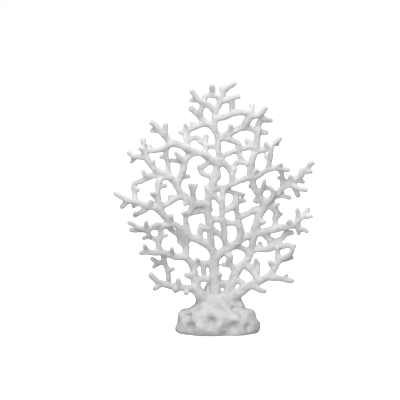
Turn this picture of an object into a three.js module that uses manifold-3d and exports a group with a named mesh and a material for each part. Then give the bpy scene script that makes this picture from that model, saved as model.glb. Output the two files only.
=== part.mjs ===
// Branching coral: a white stony fan standing on its own lumpy holdfast.
// Millimetres, +Z up. The foot's flat underside lies on z = 0 with its middle at the origin,
// and the fan spreads along X, a few limbs deep in Y, with its front towards -Y.
import * as THREE from "three";
import Module from "manifold-3d";

const wasm = await Module();
wasm.setup();
const { Manifold, Mesh } = wasm;

// ---------------------------------------------------------------- driving dimensions
const JOINT_GAP = 0.75;        // clear width left where two pieces meet
const RING_STEP = 12;          // spacing of the rings along a limb
const STOUT_SIDES = 5;         // sides of a limb
const TWIG_SIDES = 4;          // sides of a twig
const TWIG_DIAMETER = 4.8;     // limbs thinner than this count as twigs
const LIMB_SKIN = 1.3;         // knobbly skin that every limb's core diameter carries
const TIP_REACH = 0.8;         // how far a blunt tip stands out, as a share of its radius

const FAN_WAVE = 9;            // how far the fan swings to and fro along its width
const FAN_RIPPLE = 5;          // how far it ripples along its height
const FAN_LEAN = -4;           // how far its top leans forward
const FAN_START = 40;          // height where the fan leaves the holdfast
const SPREAD_REACH = 1880;     // limbs that lie deeper spread out and drop a little,
const SPREAD_X = -19.5;        // measured from this width
const SPREAD_Z = 423;          // and this height

const FOOT_SIDES = 28;         // facets round the holdfast
const FOOT_SQUARENESS = 2.2;   // 2 would be an oval foot, more is squarer
const NECK_TOP = 44;           // top of the neck that carries the stems

// ---------------------------------------------------------------- helpers
const smoothRamp = (v) => { const t = Math.min(1, Math.max(0, v)); return t * t * (3 - 2 * t); };

// Depth of the fan's sheet at a width and a height.
function fanDepth(x, z) {
  const grown = smoothRamp((z - FAN_START) / 60);
  const wave = FAN_WAVE * Math.sin(x / 52 + 0.4) + FAN_RIPPLE * Math.sin(z / 47 - x / 80);
  return grown * wave + FAN_LEAN * (z - FAN_START) / 260;
}

// A point of the fan, lifted off its sheet towards the back (+) or the front (-).
function fanPoint(x, z, lift) {
  const y = fanDepth(x, z) + lift;
  return new THREE.Vector3(x + (x - SPREAD_X) * y / SPREAD_REACH, y, z + (z - SPREAD_Z) * y / SPREAD_REACH);
}

// Value at 0..1 along a list of evenly spaced values.
function along(list, t) {
  const at = t * (list.length - 1);
  const i = Math.min(list.length - 2, Math.floor(at));
  return list.length === 1 ? list[0] : THREE.MathUtils.lerp(list[i], list[i + 1], at - i);
}

// One limb as data: its diameters and lifts from root to tip, then x, z pairs of its route.
const limb = (diameters, lifts, ...route) => ({ diameters, lifts, route });

// The limb as a closed body: rings carried along a smooth curve, a flat root and a rounded tip.
function limbBody({ diameters, lifts, route }, grow = 0) {
  const count = route.length / 2;
  const points = Array.from({ length: count }, (_, i) =>
    fanPoint(route[2 * i], route[2 * i + 1], along(lifts, i / (count - 1))));
  const curve = new THREE.CatmullRomCurve3(points, false, "centripetal");
  const rings = Math.max(2, Math.round(curve.getLength() / RING_STEP));
  const frames = curve.computeFrenetFrames(rings, false);
  const sides = Math.max(...diameters) < TWIG_DIAMETER ? TWIG_SIDES : STOUT_SIDES;
  const fullness = Math.sqrt(2 * Math.PI / (sides * Math.sin(2 * Math.PI / sides)));
  const position = [];
  const ring = (centre, i, radius) => {
    for (let k = 0; k < sides; k += 1) {
      const turn = 2 * Math.PI * k / sides;
      const out = frames.normals[i].clone().multiplyScalar(Math.cos(turn))
        .addScaledVector(frames.binormals[i], Math.sin(turn));
      position.push(...centre.clone().addScaledVector(out, radius).toArray());
    }
  };
  for (let i = 0; i <= rings; i += 1) {
    const radius = fullness * (along(diameters, i / rings) + LIMB_SKIN) / 2 + grow;
    const centre = curve.getPointAt(i / rings);
    if (i === 0) centre.addScaledVector(frames.tangents[0], -grow);
    ring(centre, i, radius);
  }
  const tip = (rings + 1) * sides;
  const reach = TIP_REACH * (along(diameters, 1) + LIMB_SKIN) / 2 + grow;
  position.push(...curve.getPointAt(1).addScaledVector(frames.tangents[rings], reach).toArray());
  const index = [];
  for (let k = 0; k < sides; k += 1) {
    const next = (k + 1) % sides;
    for (let i = 0; i < rings; i += 1) {
      const a = i * sides + k, b = i * sides + next;
      index.push(a, b, b + sides, a, b + sides, a + sides);
    }
    index.push(rings * sides + k, rings * sides + next, tip);
    if (k > 0 && k < sides - 1) index.push(0, k + 1, k);
  }
  return solid(position, index);
}

// Positions and triangles as a three.js geometry, then as a solid that can be joined and cut.
function solid(position, index) {
  const geometry = new THREE.BufferGeometry();
  geometry.setAttribute("position", new THREE.Float32BufferAttribute(position, 3));
  geometry.setIndex(index);
  return new Manifold(new Mesh({
    numProp: 3,
    vertProperties: new Float32Array(geometry.attributes.position.array),
    triVerts: new Uint32Array(geometry.index.array),
  }));
}

const joined = (bodies) => bodies.reduce((whole, body) => whole.add(body));

// ---------------------------------------------------------------- holdfast
// Each ring: height, left end, right end, half depth.
const FOOT_RINGS = [
  [0, -47.5, 50, 28.5], [3, -49.6, 52, 30], [7.5, -49.2, 52.4, 30.5], [12.5, -47.2, 50, 29.5],
  [17.5, -45.6, 47.4, 27], [22, -44.6, 45.8, 24.5], [25.3, -42.8, 44, 21.5],
  [26.8, -35, 38, 19.5], [29, -31, 34.6, 17], [32.5, -27, 34.4, 14.5], [36, -25.2, 32.6, 12],
  [40, -23.6, 29.8, 10.5], [NECK_TOP, -21.5, 27.5, 7.5],
];
// Lumps (+) and hollows (-): place, how far they stand out or in, how wide they are.
const FOOT_LUMPS = [
  [-35, -18, 22, -8, 4.5], [-31, -25, 11, -7, 5], [-7, -27, 17, -8, 6.5], [22, -15, 29, -6, 4.5],
  [30, -17, 25, -6, 4.5], [19, -28, 10, -5, 8], [39, -22, 9, -5, 5], [-16, -17, 35, -3.5, 5],
  [6, -31, 2, -3, 8], [-5, -18, 29, 4, 9], [21, -24, 19, 3.5, 7], [-21, -27, 12, 3, 8],
  [1, -29, 8, 2.5, 7], [46, -12, 14, 2, 7], [-43, -10, 22, 2, 5], [32, -8, 34, 2, 4],
  [-40, 20, 10, -3.5, 9], [-12, 29, 9, -5, 9], [8, 24, 20, 3.5, 10], [30, 26, 12, -4, 9],
  [-24, 22, 22, 2.5, 8],
];

function holdfastBody(grow = 0) {
  const position = [];
  for (const [z, left, right, halfDepth] of FOOT_RINGS) {
    const middle = (left + right) / 2, halfWidth = (right - left) / 2;
    for (let k = 0; k < FOOT_SIDES; k += 1) {
      const turn = 2 * Math.PI * k / FOOT_SIDES;
      const cos = Math.cos(turn), sin = Math.sin(turn);
      const square = (Math.abs(cos) ** FOOT_SQUARENESS + Math.abs(sin) ** FOOT_SQUARENESS)
        ** (-1 / FOOT_SQUARENESS);
      const x = middle + halfWidth * cos * square, y = halfDepth * sin * square;
      let out = grow;
      for (const [lx, ly, lz, height, width] of FOOT_LUMPS) {
        out += height * Math.exp(-((x - lx) ** 2 + (y - ly) ** 2 + (z - lz) ** 2) / width ** 2);
      }
      const normal = new THREE.Vector2(cos / halfWidth, sin / halfDepth).normalize();
      position.push(x + normal.x * out, y + normal.y * out, z === NECK_TOP ? z + grow : z);
    }
  }
  const index = [];
  for (let i = 0; i < FOOT_RINGS.length - 1; i += 1) {
    for (let k = 0; k < FOOT_SIDES; k += 1) {
      const a = i * FOOT_SIDES + k, b = i * FOOT_SIDES + (k + 1) % FOOT_SIDES;
      index.push(a, b, b + FOOT_SIDES, a, b + FOOT_SIDES, a + FOOT_SIDES);
    }
  }
  const last = (FOOT_RINGS.length - 1) * FOOT_SIDES;
  for (let k = 1; k < FOOT_SIDES - 1; k += 1) index.push(0, k + 1, k, last, last + k, last + k + 1);
  return solid(position, index);
}

// ---------------------------------------------------------------- limbs, piece by piece
// The trunk and the crown that grows out of its top.
const trunk = [
  limb([11.5, 11, 10.6, 8.6, 7.4, 7.2, 6.8, 8.3, 7.6, 5, 5.2, 5.6, 5.2, 6], [0], -1, 39, -1, 50, -0.5,
    60, -2.2, 70, -2.8, 80, -2, 90, -4, 97, -5.8, 104, -7, 112, -7.5, 128, -9.2, 136, -11.2, 145, -11.4,
    152, -10, 160, -8, 167, -6, 175, -3.5, 183, -1, 191, 0.8, 198, 3, 207, 2.3, 216, 1.7, 226, 0.7, 234,
    -1.2, 241, -2.6, 249, -1.2, 264, 2, 271, 6.5, 283),
  limb([6.8, 5], [0, -4], 6, 281, 8.5, 289, 14, 293.2, 20, 296.8),
  limb([5.4, 4.8], [0, 3], 8, 287, 6.6, 292),
  limb([4.8, 4.4], [0, 2, 0], -6, 109, -12, 108, -18, 111, -20, 118, -18, 126, -7, 124),
  limb([5, 4.6], [0, 5, 6], 4, 281, -6, 283.5, -13, 282.5, -14.5, 276),
  limb([5.2, 5, 4], [0, -2, -6], -1.5, 262, -6.5, 269.6, -14, 274, -20, 276.8, -25.5, 282.5, -28.7,
    288.4),
  limb([5.6, 4.6], [0, 4, 6], -4, 246.5, -12, 250.5, -19.2, 257.5, -24, 262.5, -29.5, 267),
  limb([5.2, 4.8, 4.8], [0, -5], 4, 276.5, 11, 277.5, 17, 279.5, 22, 281.8, 25.3, 281.8),
  limb([4], [-2, 2], 18, 278, 18, 270, 17.8, 263),
  limb([4.5, 4, 5.4], [0, 4], 0, 203, -8, 203.8, -15, 200, -20.5, 197.3),
  limb([4.5, 4, 5.4], [0, 4], -3, 188.5, -10, 188, -16.5, 190.5, -19.5, 195.5),
];

// The left stem and the low fan it carries.
const leftStem = [
  limb([6.5, 5.5], [6, 7, 5], -9, 40, -7, 50, -4.5, 61, -2, 66),
  limb([11, 9.2, 7, 6.8, 6.5, 6, 4.8], [2, 0, 0, -2, -4], -17.5, 38, -20.3, 45, -22.2, 50, -24.5, 58,
    -26.2, 68, -27.5, 77, -31.5, 85, -38, 90, -48, 91, -57, 94, -66, 96, -76, 95.7, -83, 96.3, -89.8,
    95.3),
  limb([6, 3.8], [-2, -6], -81.5, 97, -85.6, 104),
  limb([6.5, 6], [0, 3, 0], -37, 90, -36, 100, -36, 108, -37.5, 119),
  limb([6, 5.5], [-1, 0], -66, 96, -69, 105, -69, 112.5),
  limb([4.6, 4.2], [0, 4, 5], -63, 95, -62.5, 86, -59.5, 78, -57.6, 70, -56.8, 60),
  limb([4, 3.8], [3, 8], -61.5, 84, -69, 84, -76.2, 88),
  limb([5, 4.6], [0, 2, 3], -28, 81, -20, 83, -12, 82.5, -3, 85),
  limb([4.2], [2, 4, 3], -15.2, 83, -15.2, 73, -12, 64.5, -1, 62),
  limb([4], [0, 2], -25, 63.3, -15, 63.3, -10, 63.5),
];

// The low arm that leaves the foot to the left.
const leftLowArm = [
  limb([8.5, 7.5, 7, 6.4, 4.8], [-4, -7, -9, -10], -17, 40, -22, 46.5, -28, 51.5, -38, 53, -50, 54.2,
    -60, 57.3, -67.5, 59, -72.8, 63, -78, 69),
];

// The right stem, up to where the right-hand arms fork.
const rightStem = [
  limb([10, 10, 9, 7.4, 6.8, 7], [2, 0, 0], 11, 39, 13, 45, 15.5, 52, 19, 61, 22.5, 70, 28.3, 78.5, 36,
    86, 40, 93.5, 41.7, 102, 43.2, 110, 45, 119),
  limb([5, 4.6], [0, 1, 0], 17, 57, 8, 58.2, 1, 58.6),
  limb([5.4, 5.4, 8], [0, -4], 23, 75, 16.5, 82, 15.8, 91),
  limb([5.5, 5.5, 7, 6.4, 3.8], [0, -2, -5], 41, 99, 52, 99.8, 61, 100, 68, 102.3, 75, 102.7, 84, 104.2,
    92.5, 103.6),
  limb([5.6, 3.4], [0, 4], 52, 101, 52, 107),
];

// The low arm that leaves the foot to the right.
const rightLowArm = [
  limb([10.5, 9, 7.8, 7, 6.5, 5.6, 4.6], [-3, -4, -8, -10], 18.5, 39, 24, 44, 29, 48.4, 37, 54.2, 46,
    58.7, 55, 62.7, 62.5, 67.3, 67.8, 73.3, 71, 80.5, 75.2, 86.5, 83, 90.7, 89, 95, 91, 101),
  limb([5.2, 5.6, 4.6], [-6, -9, -14], 63, 66, 73, 65, 83, 63.2, 90, 61.9),
  limb([5.4, 3.4], [-8, -12], 83, 63.5, 84, 68.6),
  limb([4.2], [-5, -9], 43, 56, 50, 51.5, 57.5, 49),
  limb([5.8], [-5, -2, 1], 50, 60.5, 47.6, 67.5, 41.5, 73.8, 34, 81),
  limb([4.6, 4], [-3, -4, -6], 47, 66, 49, 74, 48.6, 81, 47, 86.6),
  limb([4.2], [0, 0, -3], 20, 61.3, 27, 61.5, 32, 58, 36, 52.5),
];

// The middle arm on the left and its open mesh.
const leftMiddleArm = [
  limb([8, 7.6, 5, 5.4, 7.6, 6, 5.5, 5], [0, 0, -2, -5], -4, 98, -11, 105, -20, 110, -29.5, 114.5,
    -36.5, 120.8, -44.5, 126.8, -53, 131.5, -60, 138, -67, 145.7, -73, 150.3, -84, 152.8, -96, 157,
    -107, 159.5, -119, 166.8),
  limb([4.8, 4.4], [-2, 3], -80, 152, -88, 145.2, -96.5, 140.4),
  limb([6, 5.6], [-1, -3, -2], -66.5, 148, -68, 153, -69.4, 160, -69.5, 169, -69.8, 178),
  limb([3.8], [-2, 0, 0], -69.3, 178.5, -66.5, 183.5, -62, 185.8, -55, 186.5),
  limb([5.6, 5], [0, 2, 3, 0], -33.5, 116, -35, 127, -36.7, 136, -35, 142, -28, 144, -15, 146.3, -7,
    147),
  limb([5.5, 5], [-1, -2, -3], -54, 131.5, -62, 128.6, -70, 127, -78, 125, -84, 122.6),
  limb([5, 4.4], [-3, -8], -83, 122.5, -93, 126, -103.5, 131.8),
  limb([4.8, 4], [-3, -1, 2], -83, 122.4, -92, 122.6, -100.8, 122.8),
  limb([3.8, 3.8], [0, 7, 7, 2], -60, 128, -54.5, 123.8, -47.5, 118.4, -42, 112.8, -35, 109),
  limb([5.2, 5], [-2, 0], -66.4, 127, -66.4, 118, -68.5, 106),
  limb([5, 5.4], [2, 1], -34, 141, -29.5, 149, -26.5, 156),
];

// The upper arm on the left.
const leftUpperArm = [
  limb([8, 8, 7, 6.2, 6.2, 6.2, 6, 5.4, 4.8], [0, 2, 0, -3], -10, 154, -20, 155, -28, 156.5, -35.5, 161,
    -42.6, 168.5, -48, 177.5, -53.3, 184.5, -58.5, 189.3, -66, 192.3, -73, 196.5, -79, 203, -82.8,
    210.5, -85.8, 218, -86.4, 230.4),
  limb([5.2, 4.2], [-1, 3], -81.5, 208.5, -92, 210.3, -98, 211, -103, 215),
  limb([5.2, 5], [0, 5, 8, 6], -59, 189.5, -72, 189, -80, 186, -88, 182, -97, 178.5, -98, 172, -97, 164,
    -96, 158),
  limb([5.8, 5.2, 5.6], [1, -4], -28, 157, -28, 166, -28, 173.5),
  limb([6, 5.4], [1, 3, 1], -38, 165, -49, 160.5, -55, 156, -62, 153, -70, 150.5),
];

// The crown arm on the left.
const leftCrownArm = [
  limb([6.6, 6.6, 7, 7, 6.5, 6, 5.6], [0, 0, -3, -6], 2.5, 200.5, -3.5, 206, -11, 211.5, -20, 215, -28,
    217, -36, 221, -45, 225, -54, 228.4, -60, 234, -65.5, 241.5, -70.5, 246, -75.6, 250.8),
  limb([5.4, 5.8, 4.6], [-4, -1, 2], -52, 227.5, -60, 221.8, -68, 218.9, -77, 218.5, -79.3, 223.6),
  limb([4.8, 4.4], [-2, 1, 2], -59.5, 221, -59.4, 211, -57.6, 202, -56.8, 189),
  limb([6.6, 7, 5.6], [0, 3, 2], -26, 216, -34, 210, -37.8, 204, -39, 197, -41.8, 189, -45.3, 179),
  limb([6, 4], [2, -3], -38.5, 204.5, -44, 210, -47.8, 214.7),
];

// The loops of the crown on the left, from the trunk back down to the crown arm.
const crownLeftLoop = [
  limb([5.4, 5.2, 5], [0, 4, 5, 2], -1, 240, -7, 247.5, -14, 249.6, -22, 247.4, -30, 243.5, -34.5, 241,
    -35.5, 234, -34.7, 227, -36, 219),
  limb([5.4, 3.2], [5, 9], -27.5, 245, -29.2, 250.3),
  limb([4.5, 4.3], [3, 6, 4, 2], -35, 229, -29, 232.5, -23, 232.7, -19, 229, -14, 226, -13, 218, -13,
    211),
  limb([5], [3, 2], -13, 224, -1, 222.5, 3, 222),
];

// The crown's right side: an arch, a ring and the arm above them.
const crownRight = [
  limb([6, 5.4, 5, 4.6, 5, 3.8], [0, 3, 3], 2, 233, 10, 236, 17, 239, 24, 243, 32, 245, 40, 243.5, 50,
    240.5, 58.3, 239.2),
  limb([4.6, 4.2], [3, 1, 0], 48.3, 241, 49.2, 249, 53.7, 255),
  limb([6, 5.6, 5.6, 6], [0, -2, -3], -1, 256, 6, 257, 13, 259, 20, 262, 29, 263.3, 40, 262.5),
  limb([5.2, 4.8], [-3, -6], 40, 261, 44, 259.5, 50, 260, 54, 263.7, 57.8, 268),
  limb([4.8, 5.4, 4.6], [-4, 0, 3], 49, 259.5, 57, 254.5, 63.8, 253.8),
  limb([6.2, 7], [-3, 0, 3], 40.5, 258.5, 35.6, 252.5, 31.8, 245.5),
];

// The mesh of limbs between the trunk and the right stem.
const innerMesh = [
  limb([6, 6], [0, -1, -3], -8, 137, -1, 135.7, 7, 136.5),
  limb([9.4, 8.6, 7, 7], [0, -1, 0], -2, 89, 4, 94, 11, 99.5, 19, 104, 27, 109.5, 35, 114.5, 45, 119),
  limb([5], [0, 3, 1], 14, 102, 25, 102.6, 32, 100.5, 39.5, 95),
  limb([5.2], [0, -3, -4], 13, 102, 11.3, 106, 9.6, 112, 9.6, 120, 8, 128, 6.5, 136),
  limb([4.6, 4.2], [-2, 2, 0], 11, 107, 6.5, 114.3, 0.5, 120, -7, 125),
  limb([5.2], [-4, -2, -3, -1], 8, 134, 15, 131.8, 22, 131.3, 26.7, 125.5, 28.2, 117, 26, 109),
  limb([5, 4.6], [-4, -3, 0], 7, 134, 6.5, 140, 7.4, 147, 6, 154, 2, 159.5, -4, 165, -9, 168),
  limb([4.6, 4.4], [-3, -4, -2], 7, 150, 7.8, 160, 7.8, 172),
  limb([5.4, 7, 5.6], [-3, -1, 2], 6, 145.5, 12.5, 147.8, 19.3, 151.5, 22.3, 157, 22.8, 162, 21.5,
    166.5),
  limb([4.8, 4.6], [-1, 1, 0], 23, 153, 24.6, 143, 25.6, 135, 28.6, 128, 30.6, 120, 30.6, 112),
  limb([6, 6, 5.6], [0, -2, 0], -6, 172.5, 2, 173.4, 10, 173.6, 17, 177.6, 25, 181, 33, 183.6, 42, 189),
  limb([4.8, 3.8], [-2, 2, 3], 9, 172, 20, 168, 32, 165.6),
  limb([5.2, 6, 6.2], [-2, 1, 0], 17, 177, 18.8, 188, 14.5, 197, 8, 203.5, 2, 208),
  limb([5, 4.8], [1, 2, 0], 18.5, 188, 21.4, 197, 22.2, 202.8, 31, 204, 42, 201.4),
  limb([5.2, 5, 5], [0, 2, 3, 0], 2, 232, 12, 231.8, 19, 229.5, 25.4, 226, 25, 219.6, 18, 216, 9, 212.6,
    2, 207),
  limb([4.6], [3, 1, 0], 24.5, 220, 33, 220.5, 40, 222, 47, 220),
  limb([4.8], [3, 2, 2], 25, 218, 28.8, 209.5, 33.6, 204.4),
];

// The right-hand stem above the fork, up to its top.
const rightUpperStem = [
  limb([8, 8.2, 7.8, 7.5, 7, 6.6, 6.6, 5.8, 5.3], [0, 0, 0, -1, 0], 44.5, 118, 46, 125, 48, 131, 49.6,
    137.5, 53, 144, 57, 151, 56, 157, 50.4, 164, 46, 171, 43.6, 178, 42, 186, 40, 194, 41, 202, 43, 210,
    46, 219, 47.7, 228, 49, 243),
  limb([5.4, 6.2, 6.2, 5.4], [0, 3, 2], 53, 146, 46, 147.8, 38, 143.5, 25, 138),
  limb([6, 5.4, 5.2, 4.6], [0, -3, -6], 42, 184.5, 50, 188.2, 57.5, 193, 66, 196.7, 73, 197.5, 84, 195),
  limb([5.6, 3.8], [-4, -8], 71, 197.5, 76.3, 202),
  limb([5.2, 4.8], [-2, -5], 60, 196, 63, 206, 64.1, 214, 64.6, 222.5),
  limb([5.4, 5, 4], [0, 3, 6], 46, 217, 55, 219, 61, 221, 68, 226.3, 74.6, 231.4),
  limb([4.8, 4.4], [0, -4, -5, -3], 50, 166, 55, 171.9, 60.5, 173.8, 66, 171, 67, 164, 61, 157.2),
  limb([5.4, 3.8], [-4, -9], 54.8, 171.5, 56.8, 182.5),
];

// The outer arm on the right.
const rightOuterArm = [
  limb([7.5, 7, 6.5, 6.5, 6, 5.5, 5], [0, 2, 4, 2], 56, 153, 64, 159, 70, 165, 76, 170, 80, 175, 86,
    179, 93, 184, 100.5, 189.5, 106, 196, 112.6, 203.2),
  limb([4.6, 4], [4, 0, -2], 86, 178.5, 96, 173.2, 105.7, 171.2),
  limb([4.6], [3, 0, -4], 78.3, 174, 78.3, 184, 77.3, 190, 72, 198.5),
  limb([4.8, 4.4], [2, 5], 69, 164.5, 80, 164, 86.5, 161.6),
  limb([4.6, 3.6], [1, -3], 60, 153.5, 68, 151, 74, 154.2),
  limb([7.8, 6, 5.4], [0, 2, 1], 65.5, 151.5, 70.5, 146, 70.4, 138, 69.3, 124),
];

// The middle arm on the right.
const rightMiddleArm = [
  limb([7.5, 7, 7.6, 6.8, 5, 4.4], [0, -2, -4], 45, 119, 55, 120.6, 66, 123.3, 78, 125.8, 90, 128.8,
    95.8, 132.5, 96.6, 140, 96, 147.2),
  limb([4.8, 4.4], [-4, -1], 97, 134, 103.5, 140, 108.2, 147.7),
  limb([4.6, 5.4, 3.8], [-1, -5], 98, 123, 103.5, 124, 107.6, 121),
  limb([4.8, 5, 5], [0, 1], 47, 120, 54, 119.9, 60.2, 116.2, 63.6, 110, 65.2, 103),
  limb([5.4, 5, 5, 5.6, 4.4], [0, 3, 5], 58, 116, 64, 112, 71.5, 109.5, 78.5, 113.2, 82.5, 119, 89.6,
    119.6),
];

// ---------------------------------------------------------------- the part
// Pieces in the order they are fitted: each is cut back clear of those before it.
const PIECES = {
  trunk, left_stem: leftStem, right_stem: rightStem, left_low_arm: leftLowArm, right_low_arm: rightLowArm,
  left_middle_arm: leftMiddleArm, left_upper_arm: leftUpperArm, left_crown_arm: leftCrownArm,
  right_upper_stem: rightUpperStem, right_middle_arm: rightMiddleArm, right_outer_arm: rightOuterArm,
  crown_right: crownRight, crown_left_loop: crownLeftLoop, inner_mesh: innerMesh,
};

// The triangles of the largest shell: crumbs that a cut leaves behind a neighbour are dropped.
function largestShell(triangles, vertexCount) {
  const shell = Int32Array.from({ length: vertexCount }, (_, i) => i);
  const root = (i) => { while (shell[i] !== i) i = shell[i] = shell[shell[i]]; return i; };
  for (let i = 0; i < triangles.length; i += 3) {
    shell[root(triangles[i + 1])] = root(triangles[i]);
    shell[root(triangles[i + 2])] = root(triangles[i]);
  }
  const sizes = new Map();
  for (const corner of triangles) sizes.set(root(corner), (sizes.get(root(corner)) ?? 0) + 1);
  const largest = [...sizes].reduce((best, one) => (one[1] > best[1] ? one : best))[0];
  return Array.from(triangles).filter((_, i) => root(triangles[i - i % 3]) === largest);
}

function meshNode(name, body, colour) {
  const { vertProperties, triVerts } = body.getMesh();
  const geometry = new THREE.BufferGeometry();
  geometry.setAttribute("position", new THREE.Float32BufferAttribute(vertProperties, 3));
  geometry.setIndex(largestShell(triVerts, vertProperties.length / 3));
  geometry.computeVertexNormals();
  const material = new THREE.MeshStandardMaterial({ color: colour, roughness: 0.9, metalness: 0 });
  const mesh = new THREE.Mesh(geometry, material);
  mesh.name = name;
  return mesh;
}

export function build() {
  const part = new THREE.Group();
  part.name = "branching_coral";
  const holdfast = holdfastBody();
  part.add(meshNode("holdfast", holdfast, 0xe3e4e4));
  const taken = [holdfastBody(JOINT_GAP)];
  for (const [name, limbs] of Object.entries(PIECES)) {
    const whole = joined(limbs.map((one) => limbBody(one)));
    const body = taken.reduce((rest, other) => rest.subtract(other), whole);
    part.add(meshNode(name, body, 0xeceded));
    taken.push(joined(limbs.map((one) => limbBody(one, JOINT_GAP))));
  }
  return part;
}

export default build();
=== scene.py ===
"""A white branching coral on its holdfast, grown as one skeleton and shown in its CAD pieces.

Every limb is a profile carried along a smooth route. The limbs and the foot are fused into one
skin, webbed in the forks, relaxed, roughened by layered noise, and then parted along the same forks
as the CAD pieces.
"""

import math

import bmesh
import bpy
import numpy as np
from bpy.props import FloatProperty, FloatVectorProperty, IntProperty, PointerProperty
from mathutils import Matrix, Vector


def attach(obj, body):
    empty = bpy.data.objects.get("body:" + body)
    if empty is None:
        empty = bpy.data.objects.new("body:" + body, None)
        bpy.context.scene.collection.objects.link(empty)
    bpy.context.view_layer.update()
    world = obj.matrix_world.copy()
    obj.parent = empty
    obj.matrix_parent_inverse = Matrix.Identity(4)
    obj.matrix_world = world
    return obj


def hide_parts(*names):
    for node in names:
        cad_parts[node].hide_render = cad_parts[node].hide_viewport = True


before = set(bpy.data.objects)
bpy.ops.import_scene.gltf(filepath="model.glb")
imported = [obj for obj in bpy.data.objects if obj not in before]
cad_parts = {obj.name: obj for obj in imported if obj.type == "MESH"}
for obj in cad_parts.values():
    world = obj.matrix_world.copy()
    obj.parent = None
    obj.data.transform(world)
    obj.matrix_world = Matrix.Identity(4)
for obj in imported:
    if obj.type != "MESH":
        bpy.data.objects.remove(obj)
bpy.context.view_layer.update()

bl_info = {
    "name": "Branching Coral",
    "version": (1, 0, 0),
    "blender": (4, 5, 0),
    "location": "View3D > Sidebar > Coral",
    "description": "Grows a white branching coral on its holdfast, with a plain studio stage",
    "category": "Object",
}

MM = 0.001                     # millimetres to metres

# ---------------------------------------------------------------- the fan's form, in millimetres
FAN_WAVE = 9.0                 # how far the fan swings to and fro along its width,
WAVE_RUN = 52.0                # turning by one radian in this width
WAVE_START = 0.4               # from this angle
FAN_RIPPLE = 5.0               # how far it ripples along its height,
RIPPLE_RUN = 47.0              # turning by one radian in this height,
RIPPLE_SLANT = 80.0            # less one in this width
FAN_LEAN = -4.0                # how far its top leans forward
FAN_START = 40.0               # height where the fan leaves the holdfast
FAN_FADE = 60.0                # height over which its swing then fades in
FAN_HEIGHT = 260.0             # height of the fan above its start
SPREAD_REACH = 1880.0          # limbs that lie deeper spread out and drop a little,
SPREAD_X = -19.5               # measured from this width
SPREAD_Z = 423.0               # and this height
NECK_TOP = 44.0                # top of the neck that carries the stems
NECK_SLACK = 0.6               # the foot keeps the skin this far above the neck
FOOT_SQUARENESS = 2.2          # 2 would be an oval foot, more is squarer
FOOT_COUNT = (56, 150)         # rings up the foot, and points round each
LIMB_SQUARENESS = 2.7          # 2 would be a round limb
LIMB_SIDES = 18                # points round a limb
LIMB_STEP = 1.5                # distance between the rings of a limb
ROUTE_SAMPLES = 40             # samples of a route's curve for each of its points
RELAX_DRAW = 0.4               # relaxing draws a limb in by this area over its radius
FORK_FADE = 3.5                # what a fork does to a limb fades by e over this length
HOST_FILL = 0.95               # a flared limb grows to no more than this share of its host
HOST_KEEP = 0.45               # share of its radius by which a limb's claim shrinks at its host
FOOT_MARGIN = 2.5              # the foot keeps the skin this far outside its own rings
LUMPS_TOP = 34.0               # the lumps of the foot fade above this height,
LUMPS_FADE = 10.0              # over this much more
EVEN_ROUNDS = 4                # rounds that even out the borders between pieces
OWN_VOTE = 1.5                 # a face's own vote in a round, where each neighbour has one
# Layers of the skin's noise: the size of a lattice cell, and the seed.
SWELL, KNOBS, NODULES, GRAIN, FOOT_LUMPINESS = (17.0, 5), (7.5, 11), (3.2, 23), (1.5, 37), (10.5, 41)
HOLLOW_SHADE = "painted_hollow_shade"                  # the attribute that holds how deep a point lies in a hollow, where shade is painted
NOISE_SHADE_DEPTH = 1.4               # a hollow of the noise this deep gets the full painted shade, and so does a hollow of the foot this deep
FOOT_SHADE_DEPTH = 8.0                # and so is a hollow of the foot this deep
FOOT_HOLLOW = 5.0              # only hollows of the foot deeper than this get painted shade
SOFT_AIM = (0.0, 0.0, 0.15)    # what the soft boxes face, in metres

# Each ring of the foot: height, left end, right end, half depth.
FOOT_RINGS = np.array([
    (-4, -45.5, 48, 26.5), (0, -47.5, 50, 28.5), (3, -49.6, 52, 30), (7.5, -49.2, 52.4, 30.5),
    (12.5, -47.2, 50, 29.5), (17.5, -45.6, 47.4, 27), (22, -44.6, 45.8, 24.5), (25.3, -42.8, 44, 21.5),
    (26.8, -35, 38, 19.5), (29, -31, 34.6, 17), (32.5, -27, 34.4, 14.5), (36, -25.2, 32.6, 12),
    (40, -23.6, 29.8, 10.5), (NECK_TOP, -21.5, 27.5, 7.5)])
# Lumps (+) and hollows (-) of the foot: place, how far they stand out or in, how wide they are.
FOOT_LUMPS = (
    (-35, -18, 22, -8, 4.5), (-31, -25, 11, -7, 5), (-7, -27, 17, -8, 6.5), (22, -15, 29, -6, 4.5),
    (30, -17, 25, -6, 4.5), (19, -28, 10, -5, 8), (39, -22, 9, -5, 5), (-16, -17, 35, -3.5, 5),
    (6, -31, 2, -3, 8), (-5, -18, 29, 4, 9), (21, -24, 19, 3.5, 7), (-21, -27, 12, 3, 8),
    (1, -29, 8, 2.5, 7), (46, -12, 14, 2, 7), (-43, -10, 22, 2, 5), (32, -8, 34, 2, 4),
    (-40, 20, 10, -3.5, 9), (-12, 29, 9, -5, 9), (8, 24, 20, 3.5, 10), (30, 26, 12, -4, 9),
    (-24, 22, 22, 2.5, 8))


def limb(diameters, lifts, *route):
    """One limb as data: diameters and lifts from root to tip, then x, z pairs of its route."""
    return diameters, lifts, route


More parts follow.
